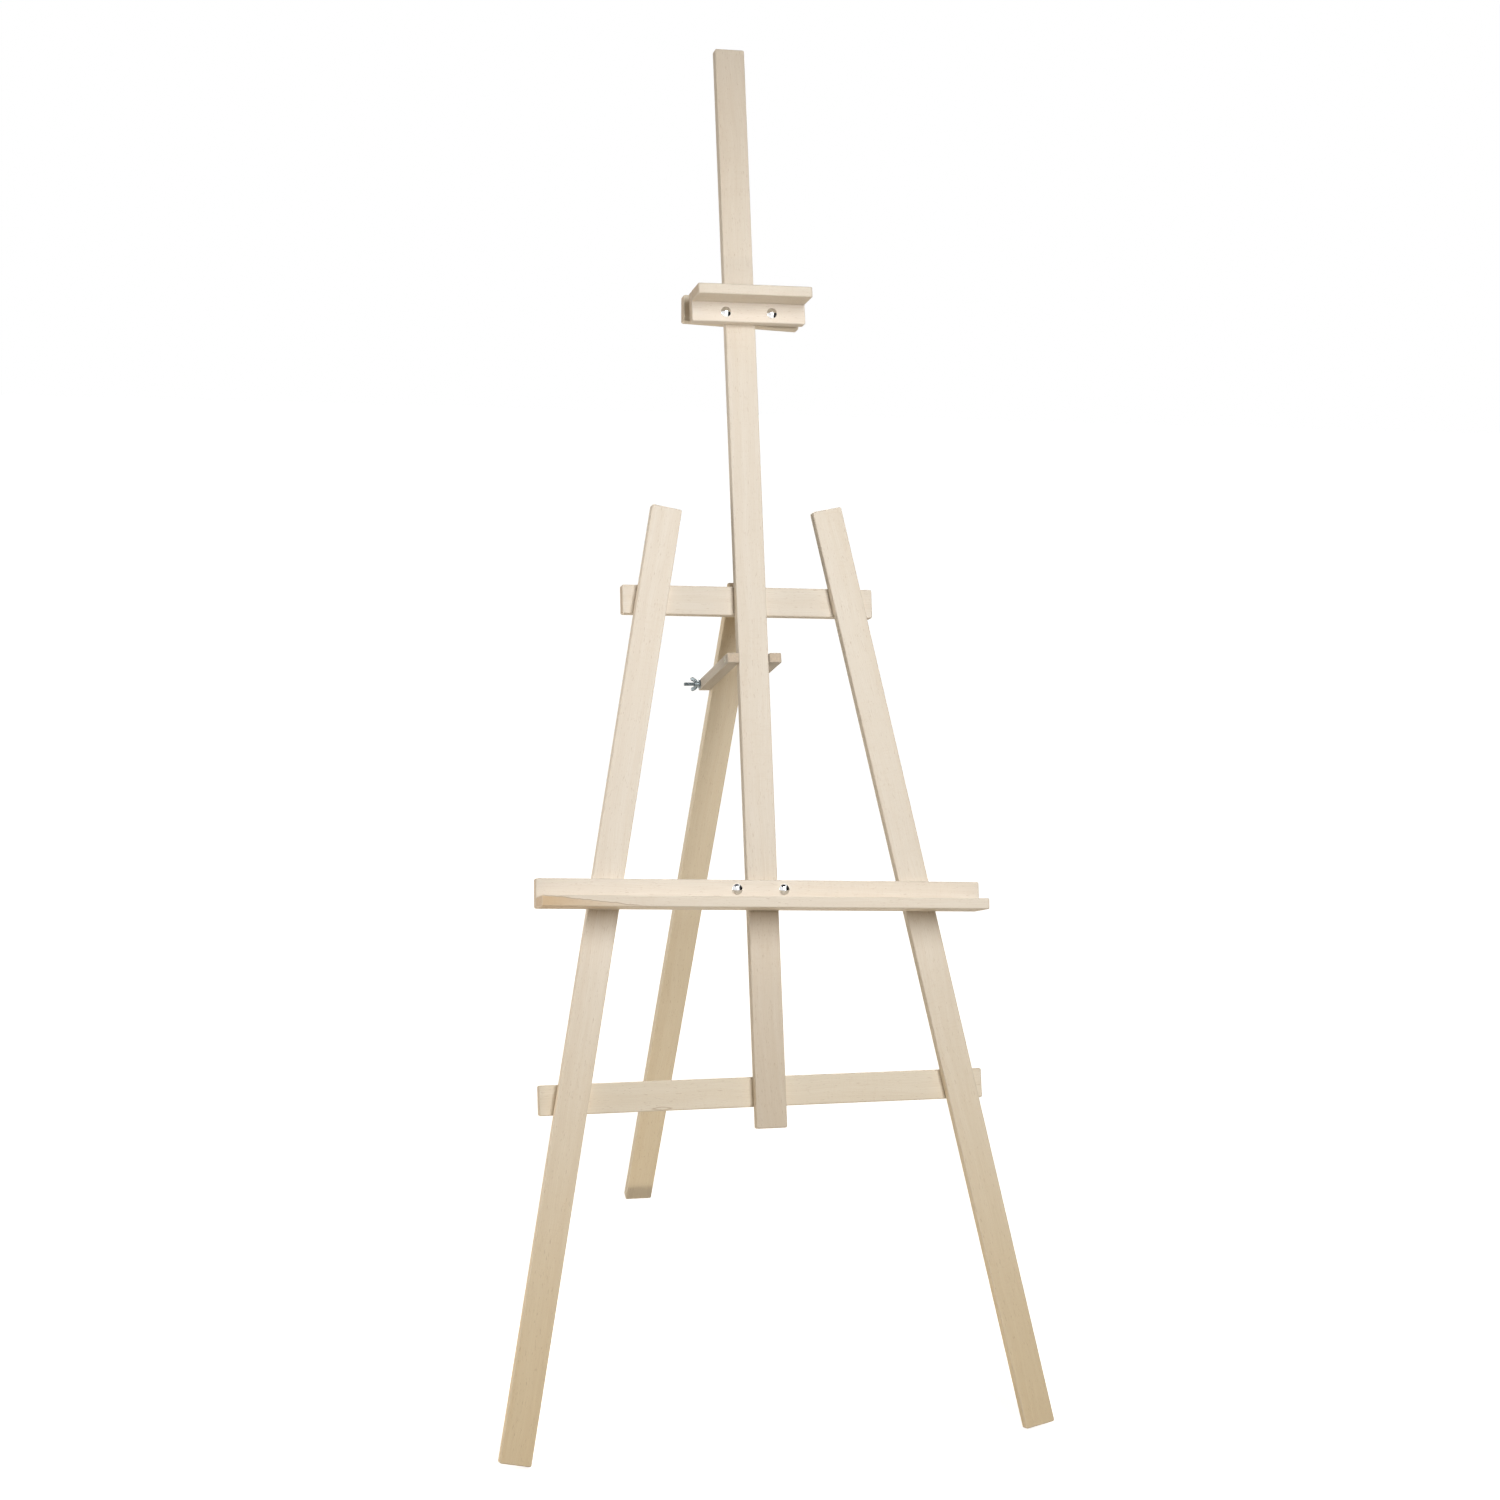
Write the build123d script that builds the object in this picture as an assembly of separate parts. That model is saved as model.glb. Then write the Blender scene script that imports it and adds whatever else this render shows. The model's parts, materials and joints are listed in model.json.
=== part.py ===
from build123d import *
import math
import os

# A wooden studio easel: a leaning A-frame of planed beech strips, a rear leg hinged behind it, and
# a canvas tray and a canvas holder that are clamped to the mast with bolts and wing nuts.
# Millimetres and degrees. The frame is drawn upright: X to the right, Y to the back, Z along the
# mast, with the mast and front legs at Y < 0 and the crossbars at Y > 0. Then it is leaned back.

# Stance
lean = 20.0
leg_spread = 42.6
splay = 11.1

# Planed strip
strip_width = 40.0
strip_thick = 14.0
edge_round = 1.6
corner_round = 2.5

# Frame lengths and heights
mast_length = 1419.0
mast_foot_z = 392.5
front_leg_length = 1215.0
front_leg_top_x = 107.5
crossbar_height = 38.0
crossbar_overhang = 37.0
upper_crossbar_z = 1071.6
lower_crossbar_z = 439.0
upper_crossbar_turn = 0.8
lower_crossbar_shift = -3.5

# Tray and holder
tray_length = 585.5
tray_height = 38.0
tray_depth = 40.0
tray_z = 668.8
tray_shift = -5.7
tray_turn = 1.65
holder_length = 153.5
holder_height = 40.0
holder_depth = 38.0
holder_top_z = 1476.2
holder_shift = 8.0
clamp_length = 157.0
clamp_height = 36.0
tray_bolt_shift = -1.9
tray_clamp_below_bolt = 24.0
holder_clamp_below_bolt = 9.4
holder_clamp_shift = -2.2
holder_clamp_turn = 2.4
slide_play = 0.2

# Bolts, washers and wing nuts
bolt_diameter = 5.0
bolt_side_gap = 8.5
bolt_tail = 5.0
bolt_hole_play = 0.25
head_diameter = 14.0
head_height = 4.2
head_rim = 1.2
neck_length = 4.0
washer_diameter = 13.0
washer_thick = 1.2
nut_base_diameter = 9.0
nut_top_diameter = 7.6
nut_height = 6.5
nut_thread_play = 0.06
nut_face_play = 0.1
wing_span = 19.0
wing_height = 11.5
wing_thick = 2.4
wing_tip_radius = 2.6
wing_edge_round = 0.8

# Tilt brace
slat_width = 16.0
slat_height = 13.0
slat_corner_round = 2.0
slat_edge_round = 1.2
slat_play = 0.3
slat_front_reach = 4.0
slat_front_z = 995.0
slat_screw_inset = 14.0
slat_past_bolt = 10.0
brace_bolt_from_hinge = 160.0
brace_bolt_tail = 14.0
notch_play = 1.2
notch_seat_gap = 0.1

# Hinge
hinge_width = 28.0
leaf_height = 30.0
leaf_thick = 1.2
leaf_gap = 0.4
knuckle_diameter = 6.0
knuckle_count = 3
knuckle_gap = 0.3
hinge_pin_diameter = 3.0
hinge_pin_play = 0.05
hinge_pin_overhang = 0.6
knuckle_clearance = 0.4

# Wood screws
screw_diameter = 4.0
screw_head_diameter = 7.6
screw_tip_length = 4.0
screw_play = 0.05
recess_width = 0.9
recess_depth = 1.3
crossbar_screw_length = 25.0
crossbar_screw_spacing = 18.0
ledge_screw_length = 35.0
ledge_screw_inset = 22.0
tray_ledge_screw_count = 5
holder_ledge_screw_count = 2
slat_screw_length = 32.0
hinge_screw_diameter = 3.0
hinge_screw_head_diameter = 5.6
hinge_screw_length = 12.0
hinge_screw_spacing = 16.0

# Turns of the wing nuts as they were left, from wings level
left_tray_nut_turn = 70.0
right_tray_nut_turn = 25.0
left_holder_nut_turn = 15.0
right_holder_nut_turn = 27.0
brace_nut_turn = 86.0

# Worked out from the sizes above
half_strip = strip_thick / 2
front_leg_top_z = front_leg_length * math.cos(math.radians(splay))
front_leg_foot_x = front_leg_top_x + front_leg_length * math.sin(math.radians(splay))
plate_back_y = -strip_thick - slide_play
plate_front_y = plate_back_y - strip_thick
clamp_back_y = slide_play + strip_thick
bolt_x = strip_width / 2 + bolt_side_gap + bolt_diameter / 2
tray_bolt_z = (tray_height + strip_thick) / 2
holder_bolt_z = -(holder_height + strip_thick) / 2
tray_clamp_z = tray_bolt_z - tray_clamp_below_bolt + clamp_height / 2
holder_clamp_z = holder_bolt_z - holder_clamp_below_bolt + clamp_height / 2
clamp_grip = clamp_back_y - plate_front_y
leaf_offset = leaf_thick + leaf_gap / 2
hinge_y = strip_thick + leaf_offset
knuckle_drop = knuckle_diameter / 2 + knuckle_clearance
hinge_z = upper_crossbar_z + crossbar_height / 2 + knuckle_drop
slat_inner_x = strip_width / 2 + slat_play
slat_outer_x = slat_inner_x + slat_width
hinge_screw_xs = (-hinge_screw_spacing / 2, hinge_screw_spacing / 2)
leg_turn = Rot(X=leg_spread)
hinge_place = Pos(0, hinge_y, hinge_z)
brace_bolt_in_leg = Vector(0, leaf_offset + half_strip, -brace_bolt_from_hinge)
brace_bolt_place = hinge_place * leg_turn * Pos(brace_bolt_in_leg)
slat_front = Vector(0, -strip_thick - slat_front_reach, slat_front_z)
slat_run = brace_bolt_place.position - slat_front
slat_slope = math.degrees(math.atan2(slat_run.Z, slat_run.Y))
slat_place = Pos(slat_front) * Rot(X=slat_slope)


def strip(length, width=strip_width, thick=strip_thick, corner=corner_round, edge=edge_round):
    """Planed strip along Z, its width along X and thickness along Y, with every edge rounded."""
    outline = Plane.XZ * RectangleRounded(width, length, corner)
    body = extrude(outline, thick / 2, both=True)
    return fillet(body.faces().filter_by(Axis.Y).edges(), edge)


def turned(points):
    """Piece turned about Y from its half outline of (radius, y) points."""
    return revolve(make_face(Polyline(*points, close=True)), Axis.Y)


def rod(radius, length):
    """Cylinder along +Y from the origin."""
    return Cylinder(radius, length, rotation=(-90, 0, 0), align=(Align.CENTER, Align.CENTER, Align.MIN))


def screw_blank(length, diameter, head_size, play=0.0):
    """Countersunk screw without its recess, head flush with Y = 0 and tip towards -Y."""
    head = head_size / 2 + play
    shank = diameter / 2 + play
    neck = shank - head
    end = -length - play
    return turned([(0, 0), (head, 0), (shank, neck), (shank, end + screw_tip_length), (0, end)])


def wood_screw(length, diameter=screw_diameter, head_size=screw_head_diameter):
    """Countersunk wood screw with a cross recess."""
    arm = head_size * 0.6
    recess = Box(arm, 2 * recess_depth, recess_width) + Box(recess_width, 2 * recess_depth, arm)
    return screw_blank(length, diameter, head_size) - recess


def screw_hole(length, diameter=screw_diameter, head_size=screw_head_diameter):
    """The hole that a wood screw fills."""
    return screw_blank(length, diameter, head_size, screw_play)


def square_neck():
    """Square under a carriage bolt's head, which bites into the wood and stops the bolt turning."""
    return Box(bolt_diameter, neck_length, bolt_diameter, align=(Align.CENTER, Align.MIN, Align.CENTER))


def carriage_bolt(length):
    """Domed bolt along +Y with the underside of its head at Y = 0."""
    rim = head_diameter / 2
    seat = Line((0, 0), (rim, 0))
    side = Line((rim, 0), (rim, -head_rim))
    dome = TangentArc((0, -head_height), (rim, -head_rim), tangent=(1, 0))
    middle = Line((0, -head_height), (0, 0))
    head = revolve(make_face([seat, side, dome, middle]), Axis.Y)
    shank = rod(bolt_diameter / 2, length)
    shank = chamfer(shank.edges().sort_by(Axis.Y)[-1], bolt_diameter / 8)
    return head + square_neck() + shank


def bolt_hole(depth):
    """Hole along +Y for a carriage bolt, with the square that its neck fills."""
    return rod(bolt_diameter / 2 + bolt_hole_play, depth) + square_neck()


def washer():
    """Flat washer from Y = 0 to its thickness."""
    return rod(washer_diameter / 2, washer_thick) - rod(bolt_diameter / 2 + bolt_hole_play, washer_thick)


def on_tip(degrees):
    """Point of a wing's round tip, and the direction of its outline there, at this angle."""
    turn = math.radians(degrees)
    middle_x = wing_span / 2 - wing_tip_radius
    middle_y = wing_height - wing_tip_radius
    point = (middle_x + wing_tip_radius * math.cos(turn), middle_y + wing_tip_radius * math.sin(turn))
    return point, (-math.sin(turn), math.cos(turn))


def wing_nut():
    """Wing nut along +Y: a tapered hub, two wings that flare out to round tips, and a bore."""
    base = nut_base_diameter / 2
    top = nut_top_diameter / 2
    hub = turned([(0, 0), (base, 0), (top, nut_height), (0, nut_height)])
    root_x = bolt_diameter / 2
    low_root = (root_x, nut_height * 0.1)
    high_root = (root_x, nut_height * 0.85)
    low, low_way = on_tip(-20)
    crest, crest_way = on_tip(65)
    high, high_way = on_tip(150)
    under = TangentArc(low, low_root, tangent=(-low_way[0], -low_way[1]))
    tip = ThreePointArc(low, crest, high)
    over = TangentArc(high, high_root, tangent=high_way)
    root = Line(high_root, low_root)
    wing = extrude(make_face([under, tip, over, root]), wing_thick / 2, both=True)
    rims = wing.faces().filter_by(Axis.Z).edges().filter_by(GeomType.CIRCLE)
    wing = fillet(rims, wing_edge_round)
    return hub + wing + mirror(wing, Plane.YZ) - rod(root_x + nut_thread_play, wing_height)


def crossing_x(z):
    """How far the middle of a front leg is from the mast at this height."""
    return front_leg_top_x + (front_leg_top_z - z) * math.tan(math.radians(splay))


def crossbar_screw_spots(z):
    """Screws driven from behind through a crossbar: two into each front leg and into the mast."""
    rise = crossbar_screw_spacing / 2
    middles = [(side * crossing_x(z + step), z + step) for side in (-1, 1) for step in (-rise, rise)]
    middles += [(0, z - rise), (0, z + rise)]
    return [Pos(x, strip_thick, height) for x, height in middles]


def group(places, piece):
    """The same piece at each place, as one group of separate solids."""
    return Compound([place * piece for place in places])


def front_leg(side):
    """Front leg whose foot is spread to this side, with its crossbar screw holes."""
    middle_x = side * (front_leg_top_x + front_leg_foot_x) / 2
    place = Pos(middle_x, -half_strip, front_leg_top_z / 2) * Rot(Y=-side * splay)
    return place * strip(front_leg_length) - crossbar_screw_holes


def crossbar(z, place):
    """Crossbar that reaches past the middles of both front legs at this height, with its screw holes."""
    length = 2 * (crossing_x(z) + crossbar_overhang)
    bar = place * Pos(0, half_strip, 0) * Rot(Y=90) * strip(length, crossbar_height)
    return bar - crossbar_screw_holes


def hinge_leaf(side, own_knuckles):
    """Leaf of a butt hinge about a pin along X at the origin, on this side of the pin."""
    plate = Pos(0, side * (leaf_gap + leaf_thick) / 2, -leaf_height / 2) * Box(
        hinge_width, leaf_thick, leaf_height
    )
    leaf = fillet(plate.edges().filter_by(Axis.Y).group_by(Axis.Z)[0], corner_round)
    pitch = hinge_width / knuckle_count
    knuckle = Cylinder(knuckle_diameter / 2, pitch - knuckle_gap, rotation=(0, 90, 0))
    space = Cylinder(knuckle_diameter / 2 + knuckle_gap, pitch + knuckle_gap, rotation=(0, 90, 0))
    for n in range(knuckle_count):
        place = Pos((n - (knuckle_count - 1) / 2) * pitch, 0, 0)
        if n % 2 == own_knuckles:
            leaf += place * knuckle
        else:
            leaf -= place * space
    return leaf - Cylinder(hinge_pin_diameter / 2 + hinge_pin_play, hinge_width, rotation=(0, 90, 0))


def rear_leg_strip(length):
    """Rear leg hanging straight down behind the hinge pin, before its holes and notch."""
    return Pos(0, leaf_offset + half_strip, -knuckle_drop - length / 2) * strip(length)


def brace_notch():
    """Notch for the brace bolt, closed before it and open through the back of the rear leg."""
    radius = bolt_diameter / 2 + notch_play
    end = Cylinder(radius, strip_width, rotation=(0, 90, 0))
    way = Box(strip_width, strip_thick, 2 * radius, align=(Align.CENTER, Align.MIN, Align.CENTER))
    return Pos(brace_bolt_in_leg) * Pos(0, notch_play - notch_seat_gap, 0) * (end + way)


def slat(side):
    """Slat of the tilt brace on this side of the mast and rear leg."""
    length = slat_run.length + slat_past_bolt
    bar = strip(length, slat_width, slat_height, slat_corner_round, slat_edge_round)
    place = Pos(side * (slat_inner_x + slat_width / 2), length / 2, 0) * Rot(X=90)
    return slat_place * place * bar - slat_screw_holes - brace_bolt_hole


def clamp_spots(middle, y):
    """The axes of a clamp's two bolts, on either side of the mast, from this Y."""
    return [middle * Pos(side * bolt_x, y, 0) for side in (-1, 1)]


def clamped(name, place, up, sizes, screw_count, bolt_middle, clamp_middle, nut_turns):
    """Plate and ledge of a tray (up 1) or holder (up -1), and what clamps them to the mast.

    The place is the middle of the edge that they share, at the front of the frame. The sizes are
    their length, the plate's height and the ledge's depth. The middles of the two bolts and of the
    clamp plate are given from that place.
    """
    length, height, depth = sizes
    reach = length / 2 - ledge_screw_inset
    step = 2 * reach / (screw_count - 1)
    screw_spots = [Pos(n * step - reach, plate_back_y, up * half_strip) for n in range(screw_count)]
    bolt_spots = clamp_spots(bolt_middle, plate_front_y)
    washer_spots = clamp_spots(bolt_middle, clamp_back_y)
    screw_holes = group(screw_spots, screw_hole(ledge_screw_length))
    bolt_holes = group(bolt_spots, bolt_hole(clamp_grip))
    plate = Pos(0, plate_back_y - half_strip, up * height / 2) * Rot(Y=90) * strip(length, height)
    ledge_place = Pos(0, plate_front_y - depth / 2, up * half_strip) * Rot(X=90) * Rot(Y=90)
    clamp_place = clamp_middle * Pos(0, clamp_back_y - half_strip, 0) * Rot(Y=90)
    clamp = clamp_place * strip(clamp_length, clamp_height)
    pieces = {
        f"{name}_plate": plate - screw_holes - bolt_holes,
        f"{name}_ledge": ledge_place * strip(length, depth) - screw_holes,
        f"{name}_ledge_screws": group(screw_spots, wood_screw(ledge_screw_length)),
        f"{name}_clamp_plate": clamp - bolt_holes,
        f"{name}_bolts": group(bolt_spots, carriage_bolt(clamp_grip + nut_stack + bolt_tail)),
        f"{name}_washers": group(washer_spots, washer()),
    }
    for side, spot, turn in zip(("left", "right"), washer_spots, nut_turns):
        pieces[f"{side}_{name}_wing_nut"] = spot * on_washer * Rot(Y=turn) * wing_nut()
    return {node: place * piece for node, piece in pieces.items()}


def lowest(piece):
    """Height of a piece's lowest point once the easel leans back."""
    return (leaned * piece).bounding_box().min.Z


leaned = Rot(X=-lean)
on_washer = Pos(0, washer_thick + nut_face_play, 0)
nut_stack = washer_thick + nut_face_play + nut_height

# Frame
upper_screw_spots = crossbar_screw_spots(upper_crossbar_z)
lower_screw_spots = crossbar_screw_spots(lower_crossbar_z)
crossbar_screw = wood_screw(crossbar_screw_length)
crossbar_screw_holes = group(upper_screw_spots + lower_screw_spots, screw_hole(crossbar_screw_length))
slat_screw_spots = [
    slat_place * Pos(side * slat_outer_x, slat_screw_inset, 0) * Rot(Z=-side * 90) for side in (-1, 1)
]
slat_screw_holes = group(slat_screw_spots, screw_hole(slat_screw_length))
hinge_screw = wood_screw(hinge_screw_length, hinge_screw_diameter, hinge_screw_head_diameter)
hinge_hole = screw_hole(hinge_screw_length, hinge_screw_diameter, hinge_screw_head_diameter)
fixed_leaf_spots = [Pos(x, -leaf_gap / 2, -leaf_height / 2) for x in hinge_screw_xs]
moving_leaf_spots = [Pos(x, leaf_gap / 2, -leaf_height / 2) * Rot(Z=180) for x in hinge_screw_xs]
hinge_crossbar_holes = hinge_place * group(fixed_leaf_spots, hinge_hole)
hinge_leg_holes = group(moving_leaf_spots, hinge_hole)
mast = Pos(0, -half_strip, mast_foot_z + mast_length / 2) * strip(mast_length)
upper_crossbar_place = Pos(0, 0, upper_crossbar_z) * Rot(Y=upper_crossbar_turn)
lower_crossbar_place = Pos(lower_crossbar_shift, 0, lower_crossbar_z)
nodes = {
    "mast": mast - crossbar_screw_holes - slat_screw_holes,
    "left_front_leg": front_leg(-1),
    "right_front_leg": front_leg(1),
    "upper_crossbar": crossbar(upper_crossbar_z, upper_crossbar_place) - hinge_crossbar_holes,
    "lower_crossbar": crossbar(lower_crossbar_z, lower_crossbar_place),
    "upper_crossbar_screws": group(upper_screw_spots, crossbar_screw),
    "lower_crossbar_screws": group(lower_screw_spots, crossbar_screw),
}

# Rear leg, as long as it takes to stand on the floor of the front feet
trial_leg = hinge_place * leg_turn * rear_leg_strip(front_leg_length)
rise = lowest(trial_leg) - lowest(nodes["left_front_leg"])
rear_leg_length = front_leg_length + rise / math.cos(math.radians(leg_spread - lean))
rear_leg = rear_leg_strip(rear_leg_length) - hinge_leg_holes - brace_notch()
nodes["rear_leg"] = hinge_place * leg_turn * rear_leg

# Hinge between the upper crossbar and the rear leg
hinge_pin_length = hinge_width + 2 * hinge_pin_overhang
nodes["hinge_fixed_leaf"] = hinge_place * hinge_leaf(-1, 0) - hinge_crossbar_holes
nodes["hinge_moving_leaf"] = hinge_place * leg_turn * (hinge_leaf(1, 1) - hinge_leg_holes)
nodes["hinge_pin"] = hinge_place * Cylinder(hinge_pin_diameter / 2, hinge_pin_length, rotation=(0, 90, 0))
nodes["hinge_crossbar_screws"] = hinge_place * group(fixed_leaf_spots, hinge_screw)
nodes["hinge_leg_screws"] = hinge_place * leg_turn * group(moving_leaf_spots, hinge_screw)

# Tilt brace: two slats screwed to the mast, with the rear leg bolted between them
brace_width = 2 * slat_outer_x
brace_axis = Pos(brace_bolt_place.position) * Rot(X=slat_slope)
brace_head = brace_axis * Pos(slat_outer_x, 0, 0) * Rot(Z=90)
brace_seat = brace_axis * Pos(-slat_outer_x, 0, 0) * Rot(Z=90)
brace_bolt_hole = brace_head * bolt_hole(brace_width)
nodes["left_brace_slat"] = slat(-1)
nodes["right_brace_slat"] = slat(1)
nodes["brace_slat_screws"] = group(slat_screw_spots, wood_screw(slat_screw_length))
nodes["brace_bolt"] = brace_head * carriage_bolt(brace_width + nut_stack + brace_bolt_tail)
nodes["brace_washer"] = brace_seat * washer()
nodes["brace_wing_nut"] = brace_seat * on_washer * Rot(Y=brace_nut_turn) * wing_nut()

# Canvas tray and canvas holder
tray_place = Pos(tray_shift, 0, tray_z) * Rot(Y=tray_turn)
tray_bolt_middle = Pos(tray_bolt_shift, 0, tray_bolt_z)
nodes |= clamped(
    "tray",
    tray_place,
    1,
    (tray_length, tray_height, tray_depth),
    tray_ledge_screw_count,
    tray_bolt_middle,
    Pos(tray_bolt_shift, 0, tray_clamp_z),
    (left_tray_nut_turn, right_tray_nut_turn),
)
holder_place = Pos(holder_shift, 0, holder_top_z)
holder_bolt_middle = Pos(0, 0, holder_bolt_z)
nodes |= clamped(
    "holder",
    holder_place,
    -1,
    (holder_length, holder_height, holder_depth),
    holder_ledge_screw_count,
    holder_bolt_middle,
    Pos(holder_clamp_shift, 0, holder_clamp_z) * Rot(Y=holder_clamp_turn),
    (left_holder_nut_turn, right_holder_nut_turn),
)

# Standing on the floor, with the origin under the middle of the easel
box = (leaned * Compound(nodes.values())).bounding_box()
stood = Pos(-box.center().X, -box.center().Y, -box.min.Z) * leaned
os.makedirs("parts", exist_ok=True)
for name, piece in nodes.items():
    export_step(stood * piece, f"parts/{name}.step")
print(f"rear leg {rear_leg_length:.1f} mm, easel {box.size.X:.0f} x {box.size.Y:.0f} x {box.size.Z:.0f} mm")
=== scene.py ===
import json
import math
import bpy
import numpy as np
from mathutils import Matrix, Vector


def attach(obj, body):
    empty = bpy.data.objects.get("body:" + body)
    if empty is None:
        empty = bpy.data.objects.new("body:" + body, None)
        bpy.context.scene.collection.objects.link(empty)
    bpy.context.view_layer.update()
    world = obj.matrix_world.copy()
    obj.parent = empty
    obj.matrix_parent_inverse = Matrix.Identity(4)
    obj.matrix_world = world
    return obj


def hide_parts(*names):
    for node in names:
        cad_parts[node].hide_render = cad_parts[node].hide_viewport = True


# Looks of a wooden studio easel: planed beech strips, plated bolts and wing nuts, soft studio light.
# Metres and degrees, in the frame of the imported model.

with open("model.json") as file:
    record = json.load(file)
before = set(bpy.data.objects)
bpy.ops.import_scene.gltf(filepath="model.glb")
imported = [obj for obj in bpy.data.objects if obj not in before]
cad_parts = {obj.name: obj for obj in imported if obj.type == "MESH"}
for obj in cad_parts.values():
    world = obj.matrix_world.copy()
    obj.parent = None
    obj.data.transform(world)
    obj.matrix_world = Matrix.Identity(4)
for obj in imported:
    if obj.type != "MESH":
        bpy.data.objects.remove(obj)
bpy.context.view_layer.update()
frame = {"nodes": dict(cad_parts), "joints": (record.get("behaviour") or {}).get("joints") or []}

# Camera
CAMERA_YAW = 15.70
CAMERA_PITCH = 12.68
CAMERA_ROLL = 3.09
CAMERA_DISTANCE = 3.222
CAMERA_TARGET = (-0.0904, -0.4079, 0.897)
CAMERA_LENS = 65.81
CAMERA_SENSOR = 36.0

# Wood colours, linear
WOOD = (0.835, 0.765, 0.665)
END_GRAIN = (0.50, 0.39, 0.28)
FLECK = (0.42, 0.28, 0.16)
VEIN = (0.36, 0.21, 0.10)

# Wood figure, metres
RING_WIDTH = 0.009
FIBRE_WIDTH = 0.0007
FIBRE_LENGTH = 0.05
FLECK_WIDTH = 0.0005
FLECK_LENGTH = 0.004
RIPPLE_WIDTH = 0.0022
RIPPLE_LENGTH = 0.012
END_RING_WIDTH = 0.002
END_RING_DEPTH = 0.004
EDGE_WEAR = 0.0022

# Slow figure, in waves to the metre: the warp and the patches across and along a strip, the rings along it
WARP_RATES = (8.0, 2.2)
PATCH_RATES = (14.0, 5.0)
RING_RATE = 1.5

# How far the warp moves the rings, metres, how the rings slant through a strip, how much that slant
# differs between strips, and how far apart the strips lie in the noise
WARP_DEPTH = 0.05
RING_SLANT = 0.6
RING_SLANT_SPREAD = 0.3
STRIP_STEP = 3.7

# Noise levels between which each mark fades in
RING_LEVELS = (0.35, 0.7)
FIBRE_LEVELS = (0.3, 0.75)
PATCH_LEVELS = (0.4, 0.75)
RIPPLE_LEVELS = (0.5, 0.72)
RIPPLE_PATCH_LEVELS = (0.42, 0.6)
FLECK_LEVELS = (0.66, 0.78)
END_RING_LEVELS = (0.3, 0.7)

# How strongly each mark shows, and the tint that it gives the wood
RING_SHARE = 0.3
RING_TINT = (0.86, 0.80, 0.72)
FIBRE_SHARE = 0.5
FIBRE_TINT = (0.82, 0.76, 0.69)
PATCH_SHARE = 0.25
PATCH_TINT = (0.93, 0.87, 0.79)
RIPPLE_SHARE = 0.22
RIPPLE_TINT = (0.85, 0.78, 0.7)
FLECK_SHARE = 0.4
END_SHARE = 0.75
END_RING_TINT = 1.35
WORN_SHARE = 0.35
WORN_TINT = (0.8, 0.77, 0.73)

# What a strip that is yellow by 1 loses in red, green and blue
YELLOWING = (-0.01, -0.03, -0.12)

# Cosines with a strip's length between which a face turns into end grain, and the share of the wear's
# width in which a rubbed edge fades in
CUT_LEVELS = (0.55, 0.9)
WORN_FADE = 0.7

# Surface of the wood: roughness between low and high fibres, how much smoother rubbed edges are, how
# deep the pores lie among the fibres, and the height of the grain, metres
FIBRE_ROUGHNESS = (0.52, 0.66)
FIBRE_ROUGHNESS_LEVELS = (0.3, 0.7)
WORN_GLOSS = 0.12
WOOD_SPECULAR = 0.35
FLECK_DEPTH = -0.8
GRAIN_HEIGHT = 0.00008
GRAIN_STRENGTH = 0.6

# Tint of each strip: brightness, and how far towards yellow. Mostly the wood's own tone; the rear leg and
# the holder's clamp plate are brightened as painted light, and the brace slats darkened as painted shade.
TINTS = {
    "mast": (1.0, -0.1),
    "left_front_leg": (1.07, -0.15),
    "right_front_leg": (1.01, 0.0),
    "upper_crossbar": (0.98, 0.0),
    "lower_crossbar": (1.05, 0.5),
    # painted light: the rear leg brightened where the lamps leave it too dark
    "rear_leg": (1.06, 0.8),
    # painted shade: both brace slats darkened for the shade they stand in
    "left_brace_slat": (0.70, 0.0),
    "right_brace_slat": (0.70, 0.0),
    "tray_plate": (1.03, -0.2),
    "tray_ledge": (1.04, 0.0),
    "tray_clamp_plate": (0.97, 0.0),
    "holder_plate": (1.05, -0.4),
    "holder_ledge": (0.96, 0.0),
    # painted light: the clamp plate brightened to lift the shade it stands in
    "holder_clamp_plate": (1.12, 0.3),
}

# Painted shade: strips darkened towards the lower or upper end where the light falls off, yellower too at
# the front legs' feet, and shaded under the upper crossbar at the rear leg's top: how far from that end,
# metres, and the tint there
LOW_END_PAINTED_SHADE = {
    "mast": (0.45, (0.86, 0.82, 0.76)),
    "left_front_leg": (0.75, (0.98, 0.89, 0.70)),
    "right_front_leg": (0.75, (1.0, 0.92, 0.74)),
}
HIGH_END_PAINTED_SHADE = {
    "mast": (0.5, (0.88, 0.85, 0.81)),
    "rear_leg": (0.12, (0.78, 0.70, 0.58)),
}

# Long brown streak down the tray ledge's front edge, from its left end, and the stain below it, metres.
# The streak waves so many times to the metre, and fades out past a share of its length.
STREAK_LENGTH = 0.14
STREAK_WIDTH = 0.0009
STREAK_WAVES = 60.0
STREAK_WAVE_HEIGHT = 0.004
STREAK_SHARE = 0.65
STREAK_FADE = 0.85
STAIN_TINT = (0.80, 0.60, 0.36)
STAIN_SHARE = 0.75
STAIN_EDGE = 0.001
STAIN_START = 0.01

# Almond-shaped vein in the lower crossbar: along and across from its middle, half length and half width,
# how pointed it is, how wide its line is and how strongly it shows
ALMOND_PLACE = (-0.136, -0.016)
ALMOND_SIZE = (0.012, 0.0018)
ALMOND_POWERS = (1.4, 1.2)
ALMOND_LINE = 0.5
ALMOND_SHARE = 0.55

# Plated steel: linear colour, roughness, and how dark its dull clouds are
PLATINGS = {
    "bolt_chrome": ((0.86, 0.87, 0.88), 0.07, 0.9),
    "zinc_steel": ((0.24, 0.275, 0.29), 0.27, 0.65),
    "screw_steel": ((0.52, 0.48, 0.36), 0.3, 0.75),
}

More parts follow.
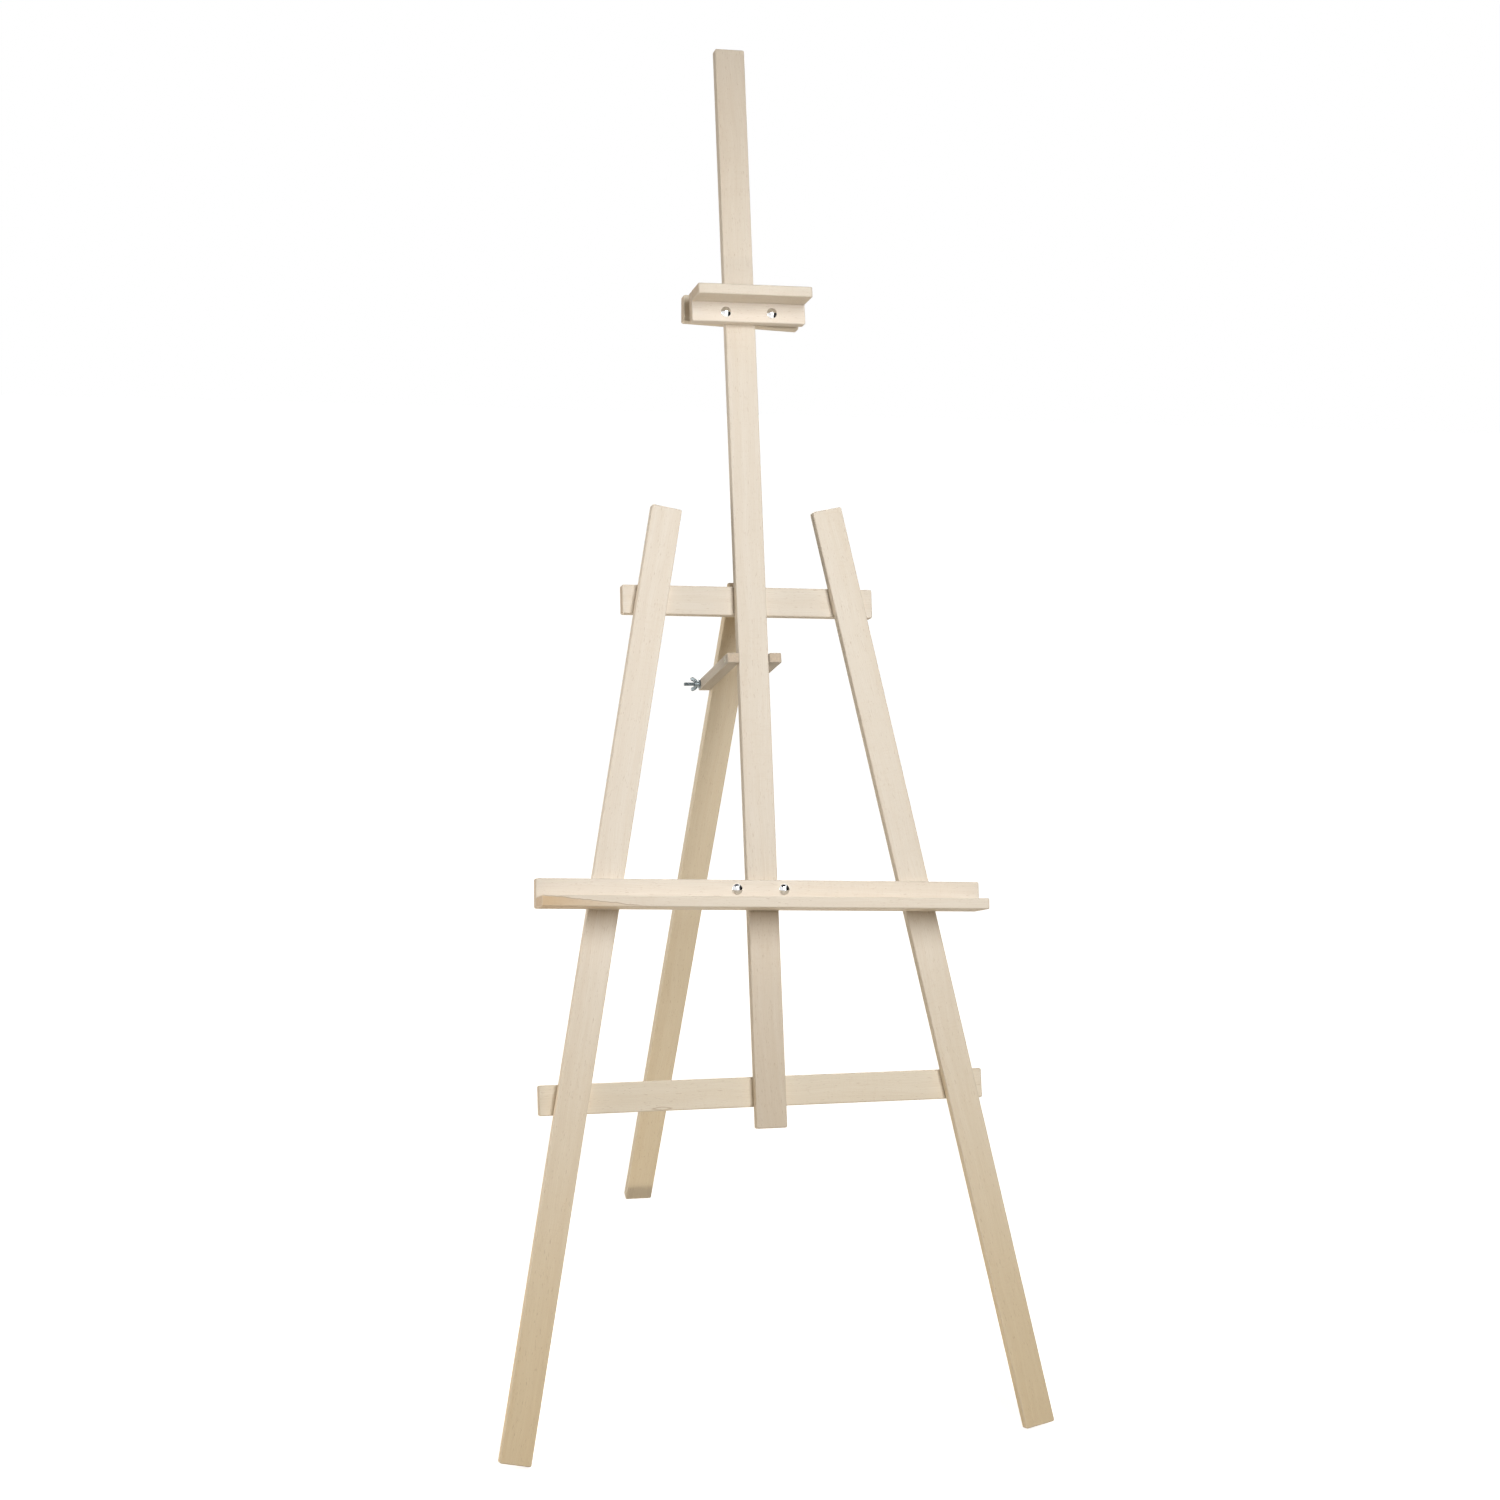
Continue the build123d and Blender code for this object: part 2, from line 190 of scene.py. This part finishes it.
# Clouds and scratches in the plating, in waves to the metre, and what they do to its colour, its
# roughness and its height, metres
CLOUD_RATE = 220.0
CLOUD_LEVELS = (0.4, 0.7)
CLOUD_ROUGHNESS = (0.8, 1.3)
CLOUD_ROUGHNESS_LEVELS = (0.3, 0.7)
SCRATCH_RATE = 1400.0
SCRATCH_STRETCH = (1.0, 6.0, 1.0)
SCRATCH_ROUGHNESS = 0.04
SCRATCH_HEIGHT = 0.00002
SCRATCH_STRENGTH = 0.3

# Threads cut on the bolts' ends, metres, and the steps they are drawn in
THREAD_PITCH = 0.0008
THREAD_DEPTH = 0.0004
THREAD_LEAD_IN = 0.002
THREAD_CHAMFER = 0.0006
STEPS_PER_PITCH = 8
STEPS_ROUND = 48
DOME_STEPS = 12

# Within this reach of a wing nut's axis, metres, a CAD point belongs to that nut's bolt. Then the share of
# the head's radius that counts as its rim, a direction that no bolt points in, and the angle from
# which edges are sharp.
BOLT_REACH = 0.012
RIM_SHARE = 0.99
ASIDE = (0.3, 0.2, 1.0)
SHARP_ANGLE = 50.0

# White surroundings: the floor's colour, and its own glow in camera rays near the easel, where 1 is
# white, and from a distance on, in metres
FLOOR_REACH = 12.0
FLOOR_COLOUR = (0.62, 0.55, 0.45)
FLOOR_ROUGHNESS = 0.9
FLOOR_GLOW = 0.86
FLOOR_NEAR = 0.7
FLOOR_FAR = 2.2

# Light of the room, and soft boxes in metres, degrees, watts and linear colours: the main light in
# front, the warm light that the floor throws up, a narrow beam on the holder, the side and the back
WORLD_COLOUR = (1.0, 0.88, 0.66)
WORLD_POWER = 0.12
LAMPS = {
    "key": {
        "place": (0.38, -1.7, 2.0),
        "aim": (-0.1, -0.1, 0.7),
        "size": (0.7, 1.7),
        "spread": 120.0,
        "power": 17.0,
        "colour": (1.0, 1.005, 1.01),
    },
    "fill": {
        "place": (0.0, 0.02, 0.02),
        "aim": (0.0, 0.02, 1.0),
        "size": (0.9, 0.75),
        "spread": 180.0,
        "power": 0.7,
        "colour": (1.0, 0.88, 0.66),
    },
    "lift": {
        "place": (0.25, -1.5, 0.75),
        "aim": (0.0, -0.02, 1.45),
        "size": (0.3, 0.3),
        "spread": 16.0,
        "power": 0.04,
        "colour": (1.0, 0.96, 0.88),
    },
    "side": {
        "place": (-2.0, -0.12, 0.9),
        "aim": (0.0, -0.12, 0.85),
        "size": (0.5, 1.6),
        "spread": 150.0,
        "power": 13.0,
        "colour": (1.0, 0.97, 0.93),
    },
    "back": {
        "place": (0.25, 2.6, 2.0),
        "aim": (0.0, 0.0, 0.85),
        "size": (1.2, 1.6),
        "spread": 130.0,
        "power": 16.0,
        "colour": (1.0, 0.98, 0.95),
    },
}

# Dark cards that only the shiny metal mirrors, right of the easel and above it: middles and sizes, metres
CARDS = {
    "right_card": ((1.5, -0.9, 1.0), (0.0, 2.2, 2.6)),
    "upper_card": ((0.0, -0.6, 3.3), (2.6, 1.8, 0.0)),
}
CARD_COLOUR = (0.02, 0.02, 0.022)


class Graph:
    """Short calls that add shader nodes to one material."""

    def __init__(self, material):
        self.nodes = material.node_tree.nodes
        self.links = material.node_tree.links
        self.shader = self.nodes["Principled BSDF"]

    def put(self, socket, value):
        if isinstance(value, bpy.types.NodeSocket):
            self.links.new(value, socket)
        else:
            socket.default_value = value

    def math(self, operation, *values):
        node = self.nodes.new("ShaderNodeMath")
        node.operation = operation
        for socket, value in zip(node.inputs, values):
            self.put(socket, value)
        return node.outputs[0]

    def vector(self, operation, *values):
        node = self.nodes.new("ShaderNodeVectorMath")
        node.operation = operation
        for socket, value in zip(node.inputs, values):
            self.put(socket, value)
        return node.outputs["Value"] if operation in ("DOT_PRODUCT", "LENGTH") else node.outputs["Vector"]

    def combine(self, x, y, z):
        node = self.nodes.new("ShaderNodeCombineXYZ")
        for socket, value in zip(node.inputs, (x, y, z)):
            self.put(socket, value)
        return node.outputs[0]

    def noise(self, place, scale, detail, roughness=0.5, distortion=0.0):
        node = self.nodes.new("ShaderNodeTexNoise")
        self.put(node.inputs["Vector"], place)
        self.put(node.inputs["Scale"], scale)
        self.put(node.inputs["Detail"], detail)
        self.put(node.inputs["Roughness"], roughness)
        self.put(node.inputs["Distortion"], distortion)
        return node.outputs["Fac"]

    def remap(self, value, low, high, new_low=0.0, new_high=1.0, smooth=False):
        node = self.nodes.new("ShaderNodeMapRange")
        node.interpolation_type = "SMOOTHSTEP" if smooth else "LINEAR"
        for socket, number in zip(node.inputs, (value, low, high, new_low, new_high)):
            self.put(socket, number)
        return node.outputs[0]

    def mix(self, amount, first, second, kind="MIX"):
        node = self.nodes.new("ShaderNodeMix")
        node.data_type = "RGBA"
        node.blend_type = kind
        self.put(node.inputs[0], amount)
        self.put(node.inputs[6], (*first, 1.0) if isinstance(first, tuple) else first)
        self.put(node.inputs[7], (*second, 1.0) if isinstance(second, tuple) else second)
        return node.outputs[2]

    def bump(self, height, distance, strength):
        node = self.nodes.new("ShaderNodeBump")
        self.put(node.inputs["Strength"], strength)
        self.put(node.inputs["Distance"], distance)
        self.put(node.inputs["Height"], height)
        return node.outputs[0]


def new_material(name):
    material = bpy.data.materials.new(name)
    material.use_nodes = True
    return material


def strip_axes(node):
    """Width, thickness and length directions of a planed strip, its middle and its half sizes."""
    mesh = frame["nodes"][node].data
    spread = np.zeros((3, 3))
    for face in mesh.polygons:
        spread += face.area * np.outer(face.normal, face.normal)
    ways = np.linalg.eigh(spread)[1].T
    ways = np.array([ways[1], ways[2], ways[0]])
    ways *= np.sign(ways[range(3), abs(ways).argmax(axis=1)])[:, None]
    points = np.array([vertex.co for vertex in mesh.vertices]) @ ways.T
    low, high = points.min(axis=0), points.max(axis=0)
    return ways, (low + high) / 2, (high - low) / 2


def scaled(colour, tint):
    """A colour times a number, or times one number for each channel."""
    tint = tint if isinstance(tint, tuple) else (tint, tint, tint)
    return tuple(c * k for c, k in zip(colour, tint))


def streak(g, colour, through, along, half):
    """Brown line that runs down the ledge's front edge from its left end, with a stain below it."""
    start = g.math("ADD", along, float(half[2]))
    line = g.remap(start, 0.0, STREAK_LENGTH, float(half[1]), -float(half[1]))
    wave = g.noise(g.combine(g.math("MULTIPLY", start, STREAK_WAVES), 0.0, 0.0), 1.0, 2.0)
    wave = g.math("MULTIPLY", g.math("SUBTRACT", wave, 0.5), STREAK_WAVE_HEIGHT)
    below = g.math("SUBTRACT", g.math("ADD", line, wave), through)
    stain = g.remap(start, STAIN_START, STREAK_LENGTH, STAIN_SHARE, 0.0)
    stain = g.math("MULTIPLY", g.remap(below, 0.0, STAIN_EDGE), stain)
    colour = g.mix(stain, colour, g.mix(1.0, colour, STAIN_TINT, "MULTIPLY"))
    near = g.remap(g.math("ABSOLUTE", below), 0.0, STREAK_WIDTH, STREAK_SHARE, 0.0, smooth=True)
    near = g.math("MULTIPLY", near, g.remap(start, STREAK_LENGTH * STREAK_FADE, STREAK_LENGTH, 1.0, 0.0))
    return g.mix(near, colour, VEIN)


def almond(g, colour, across, along):
    """Outline of a small almond-shaped vein."""
    u, v = (
        g.math("POWER", g.math("ABSOLUTE", g.math("DIVIDE", g.math("SUBTRACT", value, spot), size)), power)
        for value, spot, size, power in zip((along, across), ALMOND_PLACE, ALMOND_SIZE, ALMOND_POWERS)
    )
    off = g.math("ABSOLUTE", g.math("SUBTRACT", g.math("ADD", u, v), 1.0))
    return g.mix(g.remap(off, 0.0, ALMOND_LINE, ALMOND_SHARE, 0.0, smooth=True), colour, VEIN)


def figure(g, across, through, along, seed):
    """Place among the growth rings, then the rings, fibres, flecks, ripples and patches of one strip."""
    shift = seed * STRIP_STEP

    # slow warp of the figure, then growth rings cut almost flat
    warp_across, warp_along = WARP_RATES
    warp_place = g.combine(
        g.math("MULTIPLY", across, warp_across), shift, g.math("MULTIPLY", along, warp_along)
    )
    warp = g.math("MULTIPLY", g.math("SUBTRACT", g.noise(warp_place, 1.0, 3.0), 0.5), WARP_DEPTH)
    slant = g.math("MULTIPLY", through, RING_SLANT + RING_SLANT_SPREAD * math.sin(seed))
    ring_place = g.math("ADD", g.math("ADD", across, warp), slant)
    ring_wave = g.noise(
        g.combine(g.math("DIVIDE", ring_place, RING_WIDTH), shift, g.math("MULTIPLY", along, RING_RATE)),
        1.0,
        2.0,
    )
    rings = g.remap(ring_wave, *RING_LEVELS, smooth=True)

    # fibres, short dark pores, fine ripples across the grain, and patches where the ripples show
    fibre_place = g.combine(
        g.math("DIVIDE", ring_place, FIBRE_WIDTH),
        g.math("DIVIDE", through, FIBRE_WIDTH),
        g.math("DIVIDE", along, FIBRE_LENGTH),
    )
    fibres = g.noise(fibre_place, 1.0, 3.0, 0.6)
    fleck_place = g.combine(
        g.math("ADD", g.math("DIVIDE", across, FLECK_WIDTH), shift),
        g.math("DIVIDE", through, FLECK_WIDTH),
        g.math("DIVIDE", along, FLECK_LENGTH),
    )
    flecks = g.remap(g.noise(fleck_place, 0.6, 1.0), *FLECK_LEVELS)
    ripple_place = g.combine(
        g.math("ADD", g.math("DIVIDE", across, RIPPLE_LENGTH), shift),
        g.math("DIVIDE", through, RIPPLE_LENGTH),
        g.math("DIVIDE", along, RIPPLE_WIDTH),
    )
    ripples = g.remap(g.noise(ripple_place, 1.0, 2.0, 0.5, 0.8), *RIPPLE_LEVELS, smooth=True)
    patch_across, patch_along = PATCH_RATES
    patch_place = g.combine(
        g.math("MULTIPLY", across, patch_across), shift, g.math("MULTIPLY", along, patch_along)
    )
    patches = g.noise(patch_place, 1.0, 4.0, 0.55)
    rippled = g.remap(patches, *RIPPLE_PATCH_LEVELS, smooth=True)
    return ring_place, rings, fibres, flecks, g.math("MULTIPLY", ripples, rippled), patches


def rubbed(g, across, through, along, half, patches):
    """How far a place lies on an edge that hands have rubbed."""
    reach = [
        g.math("SUBTRACT", g.math("ABSOLUTE", value), float(size) - EDGE_WEAR)
        for value, size in zip((across, through, along), half)
    ]
    pairs = [g.math("MINIMUM", reach[a], reach[b]) for a, b in ((0, 1), (1, 2), (0, 2))]
    edge = g.math("MAXIMUM", g.math("MAXIMUM", pairs[0], pairs[1]), pairs[2])
    ragged = g.math("MULTIPLY", g.math("SUBTRACT", patches, 0.5), EDGE_WEAR)
    return g.remap(g.math("ADD", edge, ragged), 0.0, EDGE_WEAR * WORN_FADE, smooth=True)


def painted_shade_ends(g, colour, node, along, half):
    """Paints shade on the lower and upper stretches of the strips that need it, where the light falls off.
    """
    for sign, ends in ((-1.0, LOW_END_PAINTED_SHADE), (1.0, HIGH_END_PAINTED_SHADE)):
        if node in ends:
            depth, tint = ends[node]
            from_end = g.math("ADD", g.math("MULTIPLY", along, -sign), float(half[2]))
            share = g.remap(from_end, 0.0, depth, 1.0, 0.0, smooth=True)
            colour = g.mix(share, colour, g.mix(1.0, colour, tint, "MULTIPLY"))
    return colour


def wood(node, seed):
    """Planed beech for one strip: rings and fibres along it, flecks, end grain and worn edges."""
    brightness, yellow = TINTS[node]
    ways, middle, half = strip_axes(node)
    material = new_material(f"wood_{node}")
    g = Graph(material)
    place = g.nodes.new("ShaderNodeTexCoord").outputs["Object"]
    normal = g.nodes.new("ShaderNodeNewGeometry").outputs["Normal"]
    across, through, along = (
        g.math("SUBTRACT", g.vector("DOT_PRODUCT", place, tuple(way)), float(offset))
        for way, offset in zip(ways, middle)
    )
    ring_place, rings, fibres, flecks, ripples, patches = figure(g, across, through, along, seed)
    cut = g.math("ABSOLUTE", g.vector("DOT_PRODUCT", normal, tuple(ways[2])))
    cut = g.remap(cut, *CUT_LEVELS, smooth=True)
    worn = rubbed(g, across, through, along, half, patches)

    base = scaled(scaled(WOOD, brightness), tuple(1 + yellow * k for k in YELLOWING))
    colour = g.mix(g.math("MULTIPLY", rings, RING_SHARE), base, scaled(base, RING_TINT))
    colour = g.mix(g.remap(fibres, *FIBRE_LEVELS, 0.0, FIBRE_SHARE), colour, scaled(base, FIBRE_TINT))
    colour = g.mix(g.remap(patches, *PATCH_LEVELS, 0.0, PATCH_SHARE), colour, scaled(base, PATCH_TINT))
    colour = g.mix(g.math("MULTIPLY", ripples, RIPPLE_SHARE), colour, scaled(base, RIPPLE_TINT))
    colour = g.mix(g.math("MULTIPLY", flecks, FLECK_SHARE), colour, FLECK)
    # painted shade: darker towards the lower or upper ends of some strips, where the light falls off
    colour = painted_shade_ends(g, colour, node, along, half)
    if node == "tray_ledge":
        colour = streak(g, colour, through, along, half)
    if node == "lower_crossbar":
        colour = almond(g, colour, across, along)
    end_place = g.combine(
        g.math("DIVIDE", ring_place, END_RING_WIDTH), g.math("DIVIDE", through, END_RING_DEPTH), 0.0
    )
    end_rings = g.remap(g.noise(end_place, 1.0, 3.0), *END_RING_LEVELS)
    end_colour = g.mix(end_rings, END_GRAIN, scaled(END_GRAIN, END_RING_TINT))
    colour = g.mix(g.math("MULTIPLY", cut, END_SHARE), colour, end_colour)
    colour = g.mix(g.math("MULTIPLY", worn, WORN_SHARE), colour, scaled(base, WORN_TINT))
    g.put(g.shader.inputs["Base Color"], colour)

    rough = g.remap(fibres, *FIBRE_ROUGHNESS_LEVELS, *FIBRE_ROUGHNESS)
    g.put(g.shader.inputs["Roughness"], g.math("SUBTRACT", rough, g.math("MULTIPLY", worn, WORN_GLOSS)))
    g.shader.inputs["Specular IOR Level"].default_value = WOOD_SPECULAR
    height = g.math("ADD", fibres, g.math("MULTIPLY", flecks, FLECK_DEPTH))
    g.put(g.shader.inputs["Normal"], g.bump(height, GRAIN_HEIGHT, GRAIN_STRENGTH))
    return material


def plated(name, colour, roughness, dullness):
    """Plated steel with a slightly uneven coat and fine scratches."""
    material = new_material(name)
    g = Graph(material)
    place = g.nodes.new("ShaderNodeTexCoord").outputs["Object"]
    clouds = g.noise(place, CLOUD_RATE, 4.0, 0.6)
    scratches = g.noise(g.vector("MULTIPLY", place, SCRATCH_STRETCH), SCRATCH_RATE, 2.0)
    dull = scaled(colour, dullness)
    g.put(g.shader.inputs["Base Color"], g.mix(g.remap(clouds, *CLOUD_LEVELS), colour, dull))
    g.shader.inputs["Metallic"].default_value = 1.0
    rough = g.remap(clouds, *CLOUD_ROUGHNESS_LEVELS, *(roughness * share for share in CLOUD_ROUGHNESS))
    rough = g.math("ADD", rough, g.math("MULTIPLY", scratches, SCRATCH_ROUGHNESS))
    g.put(g.shader.inputs["Roughness"], rough)
    g.put(g.shader.inputs["Normal"], g.bump(scratches, SCRATCH_HEIGHT, SCRATCH_STRENGTH))
    return material


def dress_nodes():
    """Gives every CAD node its material, and the bolts their threads."""
    platings = {name: plated(name, *settings) for name, settings in PLATINGS.items()}
    for number, (name, piece) in enumerate(sorted(frame["nodes"].items())):
        if name in TINTS:
            material = wood(name, number + 1)
        elif name in ("tray_bolts", "holder_bolts"):
            material = platings["bolt_chrome"]
        elif name.endswith("_screws"):
            material = platings["screw_steel"]
        else:
            material = platings["zinc_steel"]
        piece.data.materials.clear()
        piece.data.materials.append(material)
        for face in piece.data.polygons:
            face.use_smooth = True
    threaded_bolts("brace_bolt", ["brace_wing_nut"], "frame", platings["zinc_steel"])
    for group in ("tray", "holder"):
        nuts = [f"left_{group}_wing_nut", f"right_{group}_wing_nut"]
        threaded_bolts(f"{group}_bolts", nuts, group, platings["bolt_chrome"])


def thread_radius(shank, along, end, turn):
    """Radius of a threaded shank at a place along it, at a share of a full turn round it."""
    ridge = 1 - abs(2 * ((along / THREAD_PITCH - turn) % 1.0) - 1)
    started = min(1.0, max(0.0, (along + THREAD_LEAD_IN) / THREAD_PITCH))
    radius = shank - THREAD_DEPTH * started * (1 - ridge)
    return min(radius, shank - max(0.0, along - end + THREAD_CHAMFER))


def bolt_rings(seat, axis, points):
    """Rings of one carriage bolt from its dome to its threaded end, measured on its CAD solid."""
    offsets = points - seat
    along = offsets @ axis
    radial = np.linalg.norm(offsets - np.outer(along, axis), axis=1)
    own = radial < BOLT_REACH
    along, radial = along[own], radial[own]
    apex, end, rim = along.min(), along.max(), radial.max()
    shank = radial[along > 0].max()
    rim_span = along[radial > RIM_SHARE * rim]
    rise = rim_span.min() - apex
    ball = (rim**2 + rise**2) / (2 * rise)
    open_angle = math.asin(rim / ball)
    rings = []
    for step in range(1, DOME_STEPS + 1):
        angle = open_angle * step / DOME_STEPS
        rings.append([(ball * math.sin(angle), apex + ball * (1 - math.cos(angle)))] * STEPS_ROUND)
    for radius, place in ((rim, rim_span.max()), (shank, rim_span.max()), (shank, -THREAD_LEAD_IN)):
        rings.append([(radius, place)] * STEPS_ROUND)
    count = math.ceil((end + THREAD_LEAD_IN) / THREAD_PITCH * STEPS_PER_PITCH)
    for step in range(1, count + 1):
        place = -THREAD_LEAD_IN + (end + THREAD_LEAD_IN) * step / count
        turns = (index / STEPS_ROUND for index in range(STEPS_ROUND))
        rings.append([(thread_radius(shank, place, end, turn), place) for turn in turns])
    return apex, end, rings


def threaded_bolts(node, nuts, body, material):
    """Bolts with cut threads that stand for a CAD node of plain ones, each on its wing nut's axis."""
    points = np.array([vertex.co for vertex in frame["nodes"][node].data.vertices])
    vertices, faces = [], []
    for joint in frame["joints"]:
        if joint["child"] not in nuts:
            continue
        seat, axis = np.array(joint["pos_m"]), np.array(joint["axis"])
        axis = axis / np.linalg.norm(axis)
        side = np.cross(axis, ASIDE)
        side = side / np.linalg.norm(side)
        other = np.cross(axis, side)
        apex, end, rings = bolt_rings(seat, axis, points)
        first = len(vertices)
        vertices.append(seat + axis * apex)
        for ring in rings:
            for index, (radius, place) in enumerate(ring):
                angle = 2 * math.pi * index / STEPS_ROUND
                spoke = math.cos(angle) * side + math.sin(angle) * other
                vertices.append(seat + axis * place + radius * spoke)
        vertices.append(seat + axis * end)
        last = len(vertices) - 1
        for index in range(STEPS_ROUND):
            after = (index + 1) % STEPS_ROUND
            faces.append((first, first + 1 + after, first + 1 + index))
            for row in range(len(rings) - 1):
                here, there = first + 1 + row * STEPS_ROUND, first + 1 + (row + 1) * STEPS_ROUND
                faces.append((here + index, here + after, there + after, there + index))
            here = last - STEPS_ROUND
            faces.append((here + index, here + after, last))
    mesh = bpy.data.meshes.new(f"{node}_threaded")
    mesh.from_pydata([tuple(point) for point in vertices], [], faces)
    mesh.shade_smooth()
    mesh.set_sharp_from_angle(angle=math.radians(SHARP_ANGLE))
    mesh.materials.append(material)
    piece = bpy.data.objects.new(f"{node}_threaded", mesh)
    bpy.context.collection.objects.link(piece)
    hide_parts(node)
    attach(piece, body)


def camera():
    """Camera at the viewing angle, aimed at the middle of the easel."""
    yaw, pitch = math.radians(CAMERA_YAW), math.radians(CAMERA_PITCH)
    ahead = Vector((math.sin(yaw) * math.cos(pitch), math.cos(yaw) * math.cos(pitch), -math.sin(pitch)))
    data = bpy.data.cameras.new("camera")
    data.lens = CAMERA_LENS
    data.sensor_width = CAMERA_SENSOR
    item = bpy.data.objects.new("camera", data)
    bpy.context.collection.objects.link(item)
    item.location = Vector(CAMERA_TARGET) - ahead * CAMERA_DISTANCE
    roll = Matrix.Rotation(math.radians(CAMERA_ROLL), 3, "Z")
    item.rotation_euler = (ahead.to_track_quat("-Z", "Y").to_matrix() @ roll).to_euler()
    bpy.context.scene.camera = item


def lamp(name, place, aim, size, spread, power, colour):
    """Soft box at a place, aimed at a point, as wide and high as its size, lighting within a spread."""
    data = bpy.data.lights.new(name, "AREA")
    data.shape = "RECTANGLE"
    data.size, data.size_y = size
    data.spread = math.radians(spread)
    data.energy = power
    data.color = colour
    item = bpy.data.objects.new(name, data)
    bpy.context.collection.objects.link(item)
    item.location = place
    item.rotation_euler = (Vector(aim) - Vector(place)).to_track_quat("-Z", "Y").to_euler()


def flat_piece(name, corners, material):
    """Piece with one face between four corners."""
    mesh = bpy.data.meshes.new(name)
    mesh.from_pydata([tuple(corner) for corner in corners], [], [(0, 1, 2, 3)])
    mesh.materials.append(material)
    piece = bpy.data.objects.new(name, mesh)
    bpy.context.collection.objects.link(piece)
    return piece


def card(name, middle, size):
    """Flat dark card that is seen in reflections alone."""
    first, second = (np.eye(3)[axis] * size[axis] / 2 for axis in range(3) if size[axis])
    corners = [np.array(middle) + a * first + b * second for a, b in ((-1, -1), (1, -1), (1, 1), (-1, 1))]
    material = new_material(name)
    shader = material.node_tree.nodes["Principled BSDF"]
    shader.inputs["Base Color"].default_value = (*CARD_COLOUR, 1.0)
    shader.inputs["Roughness"].default_value = 1.0
    piece = flat_piece(name, corners, material)
    piece.visible_camera = piece.visible_diffuse = piece.visible_shadow = piece.visible_transmission = False


def surroundings():
    """White to the camera and in reflections, and a faint warm light everywhere else."""
    world = bpy.data.worlds.new("studio")
    bpy.context.scene.world = world
    world.use_nodes = True
    nodes, links = world.node_tree.nodes, world.node_tree.links
    fill = nodes["Background"]
    fill.inputs["Color"].default_value = (*WORLD_COLOUR, 1.0)
    fill.inputs["Strength"].default_value = WORLD_POWER
    white = nodes.new("ShaderNodeBackground")
    white.inputs["Color"].default_value = (1.0, 1.0, 1.0, 1.0)
    white.inputs["Strength"].default_value = 1.0
    rays = nodes.new("ShaderNodeLightPath")
    seen = rays.outputs["Is Camera Ray"]
    for output in ("Is Glossy Ray", "Is Transmission Ray"):
        either = nodes.new("ShaderNodeMath")
        either.operation = "MAXIMUM"
        links.new(seen, either.inputs[0])
        links.new(rays.outputs[output], either.inputs[1])
        seen = either.outputs[0]
    mix = nodes.new("ShaderNodeMixShader")
    links.new(seen, mix.inputs[0])
    links.new(fill.outputs[0], mix.inputs[1])
    links.new(white.outputs[0], mix.inputs[2])
    links.new(mix.outputs[0], nodes["World Output"].inputs["Surface"])


def pale_floor():
    """Pale floor that keeps the shadows and glows up to white away from the easel."""
    material = new_material("floor")
    g = Graph(material)
    g.shader.inputs["Base Color"].default_value = (*FLOOR_COLOUR, 1.0)
    g.shader.inputs["Roughness"].default_value = FLOOR_ROUGHNESS
    g.shader.inputs["Specular IOR Level"].default_value = 0.0
    glow = g.nodes.new("ShaderNodeEmission")
    rays = g.nodes.new("ShaderNodeLightPath")
    seen = g.math("MAXIMUM", rays.outputs["Is Camera Ray"], rays.outputs["Is Glossy Ray"])
    far = g.vector("LENGTH", g.nodes.new("ShaderNodeTexCoord").outputs["Object"])
    level = g.remap(far, FLOOR_NEAR, FLOOR_FAR, FLOOR_GLOW, 1.0, smooth=True)
    g.put(glow.inputs["Strength"], g.math("MULTIPLY", seen, level))
    both = g.nodes.new("ShaderNodeAddShader")
    g.put(both.inputs[0], g.shader.outputs[0])
    g.put(both.inputs[1], glow.outputs[0])
    g.put(g.nodes["Material Output"].inputs["Surface"], both.outputs[0])
    reach = FLOOR_REACH
    corners = [(-reach, -reach, 0), (reach, -reach, 0), (reach, reach, 0), (-reach, reach, 0)]
    floor = flat_piece("floor", corners, material)


def studio():
    """White surroundings, pale floor, dark cards and soft lamps."""
    surroundings()
    pale_floor()
    for name, (middle, size) in CARDS.items():
        card(name, middle, size)
    for name, settings in LAMPS.items():
        lamp(name, **settings)


dress_nodes()
camera()
studio()
bpy.context.scene.view_settings.view_transform = "Standard"
